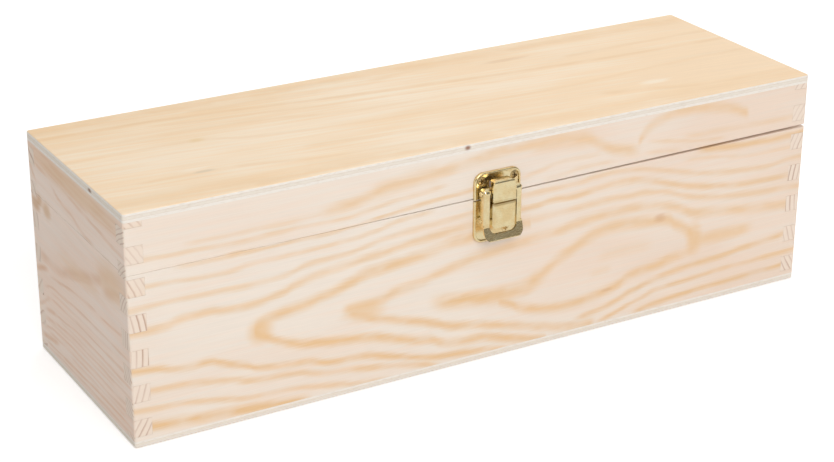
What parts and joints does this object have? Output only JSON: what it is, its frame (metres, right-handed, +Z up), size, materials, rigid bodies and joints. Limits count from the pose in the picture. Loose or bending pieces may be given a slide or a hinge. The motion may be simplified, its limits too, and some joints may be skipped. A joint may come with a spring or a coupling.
{
  "type": "wooden wine box",
  "caption": "Finger-jointed pine box for one wine bottle, with a hinged lid and a toggle latch.",
  "frame": {"origin": "middle of the face that the box stands on", "axes": "+X along the box, -Y out of the front with the latch, +Z up"},
  "size_m": [0.35, 0.1214, 0.106],
  "materials": {
    "pine": "bare sanded",
    "plywood": "bare sanded",
    "brass_plated": "bright plated"
  },
  "bodies": {
    "base": {"base_front": "pine", "base_back": "pine", "base_left_end": "pine", "base_right_end": "pine", "base_bottom_panel": "plywood", "latch_base_plate": "brass_plated", "latch_base_screws": "brass_plated", "latch_lever_rivets": "brass_plated", "left_hinge_base_leaf": "brass_plated", "left_hinge_pin": "brass_plated", "left_hinge_base_screws": "brass_plated", "right_hinge_base_leaf": "brass_plated", "right_hinge_pin": "brass_plated", "right_hinge_base_screws": "brass_plated"},
    "lid": {"lid_front": "pine", "lid_back": "pine", "lid_left_end": "pine", "lid_right_end": "pine", "lid_top_panel": "plywood", "latch_strike_plate": "brass_plated", "latch_strike_screws": "brass_plated", "left_hinge_lid_leaf": "brass_plated", "left_hinge_lid_screws": "brass_plated", "right_hinge_lid_leaf": "brass_plated", "right_hinge_lid_screws": "brass_plated"},
    "lever": {"latch_lever": "brass_plated", "latch_draw_pin": "brass_plated"},
    "draw": {"latch_draw_plate": "brass_plated"}
  },
  "joints": [
    {"name": "lid_hinge", "type": "hinge", "parent": "base", "child": "lid", "pos_m": [0, 0.0568, 0.0793], "axis": [-1, 0, 0], "range_deg": [0, 180]},
    {"name": "lever_hinge", "type": "hinge", "parent": "base", "child": "lever", "pos_m": [0.0005, -0.0586, 0.0827], "axis": [-1, 0, 0], "range_deg": [0, 96]},
    {"name": "draw_hinge", "type": "hinge", "parent": "lever", "child": "draw", "pos_m": [0.0005, -0.0581, 0.0697], "axis": [-1, 0, 0], "range_deg": [-86.4, 0]}
  ],
  "couplings": [
    {"joint": "draw_hinge", "follows": "lever_hinge", "ratio": -0.9}
  ]
}
